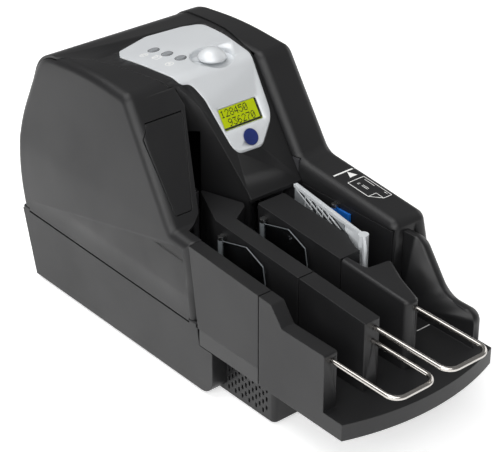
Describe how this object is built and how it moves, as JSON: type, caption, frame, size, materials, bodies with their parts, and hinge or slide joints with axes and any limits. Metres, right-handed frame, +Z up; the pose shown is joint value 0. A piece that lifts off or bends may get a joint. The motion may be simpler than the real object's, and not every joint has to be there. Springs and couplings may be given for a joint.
{
  "type": "cheque scanner",
  "caption": "Desktop cheque scanner with hinged side covers, a silver control panel, hopper with pusher paddle, two pockets and wire loops.",
  "frame": {"origin": "middle of the footprint, on the surface the feet stand on", "axes": "+Z up, -Y towards the operator (the tray end), +X to the hopper side"},
  "size_m": [0.16, 0.4428, 0.2176],
  "materials": {
    "case_black": "fine matt grain",
    "foot_rubber": "matt",
    "panel_silver": "satin metallic paint",
    "switch_black": "matt",
    "window_clear": "clear, polished",
    "display_green": "lit yellow-green face",
    "light_grey": "smoked light pipe",
    "badge_blue": "glossy",
    "flag_clear": "clear",
    "paddle_grey": "satin",
    "latch_blue": "satin",
    "loop_steel": "polished",
    "pin_steel": "bright",
    "deck_zinc": "zinc plated sheet",
    "guide_grey": "smooth",
    "roller_rubber": "ground rubber",
    "idler_white": "smooth",
    "motor_steel": "dark satin",
    "pulley_alloy": "turned",
    "belt_rubber": "matt",
    "camera_black": "glossy",
    "head_metal": "ground",
    "cartridge_black": "satin",
    "cradle_grey": "matt",
    "board_green": "satin lacquer",
    "port_black": "matt",
    "fan_black": "satin"
  },
  "bodies": {
    "housing": {"lower_housing": "case_black", "vent_box": "case_black", "centre_cover": "case_black", "pocket_floor": "case_black", "left_pocket_wall": "case_black", "pocket_divider_one": "case_black", "pocket_divider_two": "case_black", "hopper_side_plate": "case_black", "front_tray": "case_black", "front_divider_one": "case_black", "front_divider_two": "case_black", "rubber_feet": "foot_rubber", "control_panel": "panel_silver", "joystick_base": "switch_black", "display_window": "window_clear", "display_module": "display_green", "status_lights": "light_grey", "badge_disc": "badge_blue", "wire_loop_one": "loop_steel", "wire_loop_two": "loop_steel", "left_hinge_pins": "pin_steel", "right_hinge_pins": "pin_steel", "flag_pins": "pin_steel", "paddle_pin": "pin_steel", "latch_pin": "pin_steel", "track_pins": "pin_steel", "deck_plate": "deck_zinc", "outer_guide": "guide_grey", "inner_guide": "guide_grey", "drive_motor": "motor_steel", "feed_motor": "motor_steel", "drive_belt": "belt_rubber", "front_camera": "camera_black", "back_camera": "camera_black", "read_head": "head_metal", "ink_cartridge": "cartridge_black", "cartridge_cradle": "cradle_grey", "main_board": "board_green", "rear_ports": "port_black", "fan_frame": "fan_black"},
    "left_cover": {"left_cover": "case_black", "ink_door_pins": "pin_steel"},
    "ink_door": {"ink_door": "case_black"},
    "right_cover": {"right_cover": "case_black"},
    "joystick": {"joystick_knob": "panel_silver"},
    "flag_one": {"flag_one": "flag_clear"},
    "flag_two": {"flag_two": "flag_clear"},
    "paddle": {"pusher_paddle": "paddle_grey"},
    "latch": {"latch_lever": "latch_blue"},
    "motor_pulley": {"motor_pulley": "pulley_alloy"},
    "roller_right": {"drive_roller_right": "roller_rubber"},
    "roller_rear": {"drive_roller_rear": "roller_rubber"},
    "roller_left": {"drive_roller_left": "roller_rubber"},
    "idler_right": {"idler_right": "idler_white"},
    "idler_rear": {"idler_rear": "idler_white"},
    "idler_left": {"idler_left": "idler_white"},
    "feed_roller": {"feed_roller": "roller_rubber"},
    "separator": {"separator_roller": "roller_rubber"},
    "sort_gate": {"sort_gate": "cradle_grey"},
    "fan": {"fan_rotor": "fan_black"}
  },
  "joints": [
    {"name": "left_cover_hinge", "type": "hinge", "parent": "housing", "child": "left_cover", "pos_m": [-0.0785, 0.10237, 0.05947], "axis": [0, -0.9998, -0.0183], "range_deg": [0, 80]},
    {"name": "ink_door_hinge", "type": "hinge", "parent": "left_cover", "child": "ink_door", "pos_m": [-0.067, 0.06171, 0.18799], "axis": [-1, 0, 0], "range_deg": [0, 75]},
    {"name": "right_cover_hinge", "type": "hinge", "parent": "housing", "child": "right_cover", "pos_m": [0.0785, 0.10237, 0.05947], "axis": [0, 0.9998, 0.0183], "range_deg": [0, 80]},
    {"name": "joystick_press", "type": "slide", "parent": "housing", "child": "joystick", "axis": [0, 0, -1], "range_m": [0, 0.0015], "stiffness_N_per_m": 900, "springref_m": -0.0008},
    {"name": "flag_one_swing", "type": "hinge", "parent": "housing", "child": "flag_one", "pos_m": [-0.0464, 0.00037, 0.079], "axis": [0, 0, 1], "range_deg": [-15, 2], "stiffness_Nm_per_rad": 0.002},
    {"name": "flag_two_swing", "type": "hinge", "parent": "housing", "child": "flag_two", "pos_m": [-0.0062, 0.00037, 0.079], "axis": [0, 0, 1], "range_deg": [-15, 2], "stiffness_Nm_per_rad": 0.002},
    {"name": "paddle_swing", "type": "hinge", "parent": "housing", "child": "paddle", "pos_m": [0.0245, -0.07563, 0.08], "axis": [0, 0, 1], "range_deg": [0, 6], "stiffness_Nm_per_rad": 0.05, "springref_deg": -5.73},
    {"name": "latch_swing", "type": "hinge", "parent": "housing", "child": "latch", "pos_m": [0.04375, -0.02363, 0.11], "axis": [0, 0, -1], "range_deg": [0, 25]},
    {"name": "motor_spin", "type": "hinge", "parent": "housing", "child": "motor_pulley", "pos_m": [0.004, 0.03637, 0.0465], "axis": [0, 0, 1], "continuous": true},
    {"name": "drive_right_spin", "type": "hinge", "parent": "housing", "child": "roller_right", "pos_m": [0.03485, 0.06237, 0.096], "axis": [0, 0, 1], "continuous": true},
    {"name": "drive_rear_spin", "type": "hinge", "parent": "housing", "child": "roller_rear", "pos_m": [0.009, 0.18422, 0.096], "axis": [0, 0, 1], "continuous": true},
    {"name": "drive_left_spin", "type": "hinge", "parent": "housing", "child": "roller_left", "pos_m": [-0.01685, 0.10637, 0.096], "axis": [0, 0, 1], "continuous": true},
    {"name": "idler_right_spin", "type": "hinge", "parent": "housing", "child": "idler_right", "pos_m": [0.05215, 0.06237, 0.096], "axis": [0, 0, 1], "continuous": true},
    {"name": "idler_rear_spin", "type": "hinge", "parent": "housing", "child": "idler_rear", "pos_m": [0.009, 0.20152, 0.096], "axis": [0, 0, 1], "continuous": true},
    {"name": "idler_left_spin", "type": "hinge", "parent": "housing", "child": "idler_left", "pos_m": [-0.03415, 0.10637, 0.096], "axis": [0, 0, 1], "continuous": true},
    {"name": "feed_spin", "type": "hinge", "parent": "housing", "child": "feed_roller", "pos_m": [0.0549, -0.00063, 0.068], "axis": [0, 0, 1], "continuous": true},
    {"name": "separator_spin", "type": "hinge", "parent": "housing", "child": "separator", "pos_m": [0.03735, 0.01837, 0.058], "axis": [0, 0, 1], "continuous": true},
    {"name": "sort_gate_swing", "type": "hinge", "parent": "housing", "child": "sort_gate", "pos_m": [-0.026, 0.05577, 0.062], "axis": [0, 0, 1], "range_deg": [-8, 8]},
    {"name": "fan_spin", "type": "hinge", "parent": "housing", "child": "fan", "pos_m": [-0.0645, -0.05563, 0.02], "axis": [1, 0, 0], "continuous": true}
  ],
  "couplings": [
    {"joint": "drive_right_spin", "follows": "motor_spin", "ratio": 1},
    {"joint": "drive_rear_spin", "follows": "motor_spin", "ratio": 1},
    {"joint": "drive_left_spin", "follows": "motor_spin", "ratio": 1},
    {"joint": "idler_right_spin", "follows": "motor_spin", "ratio": -1.125},
    {"joint": "idler_rear_spin", "follows": "motor_spin", "ratio": -1.125},
    {"joint": "idler_left_spin", "follows": "motor_spin", "ratio": -1.125}
  ]
}
